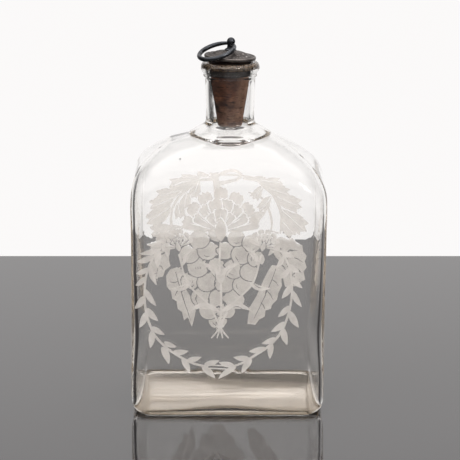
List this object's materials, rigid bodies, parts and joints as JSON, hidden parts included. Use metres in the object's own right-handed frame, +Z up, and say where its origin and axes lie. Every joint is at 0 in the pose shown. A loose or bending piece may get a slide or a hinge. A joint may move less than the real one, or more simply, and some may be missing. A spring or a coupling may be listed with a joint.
{
  "type": "spirit bottle",
  "caption": "Rectangular blown-glass spirit bottle with round shoulders, collared neck and rolled lip, closed by a tapered cork under a domed metal cap with a swinging pull ring.",
  "frame": {"origin": "middle of the foot, on the surface the bottle stands on", "axes": "+Z up along the neck, +X along the wide side, +Y away from the engraved front"},
  "size_m": [0.106, 0.08, 0.1973],
  "materials": {
    "body_glass": "clear blown glass with a faint warm tint, wheel engraved on the front and back",
    "collar_glass": "clear glass laid on hot, fire polished",
    "lip_glass": "clear glass rolled over, fire polished",
    "cork": "aged brown cork with pits and darker stains",
    "dark_pewter": "blackened metal band",
    "cap_pewter": "tarnished cast pewter with a low relief and a bright worn rim",
    "ring_metal": "blackened metal, polished by handling",
    "spindle_iron": "dull iron"
  },
  "bodies": {
    "bottle": {"bottle_body": "body_glass", "neck_collar": "collar_glass", "lip_ring": "lip_glass"},
    "stopper": {"cork": "cork", "cork_ferrule": "dark_pewter", "cap_medallion": "cap_pewter", "ring_post": "ring_metal", "spindle": "spindle_iron", "spindle_washer": "spindle_iron", "spindle_nut": "spindle_iron"},
    "ring": {"pull_ring": "ring_metal"}
  },
  "joints": [
    {"name": "stopper_lift", "type": "slide", "parent": "bottle", "child": "stopper", "axis": [0, 0, 1], "range_m": [0, 0.06]},
    {"name": "ring_swing", "type": "hinge", "parent": "stopper", "child": "ring", "pos_m": [0.00048, 0, 0.19389], "axis": [-0.5725, 0.8192, 0.035], "range_deg": [0, 222]}
  ]
}
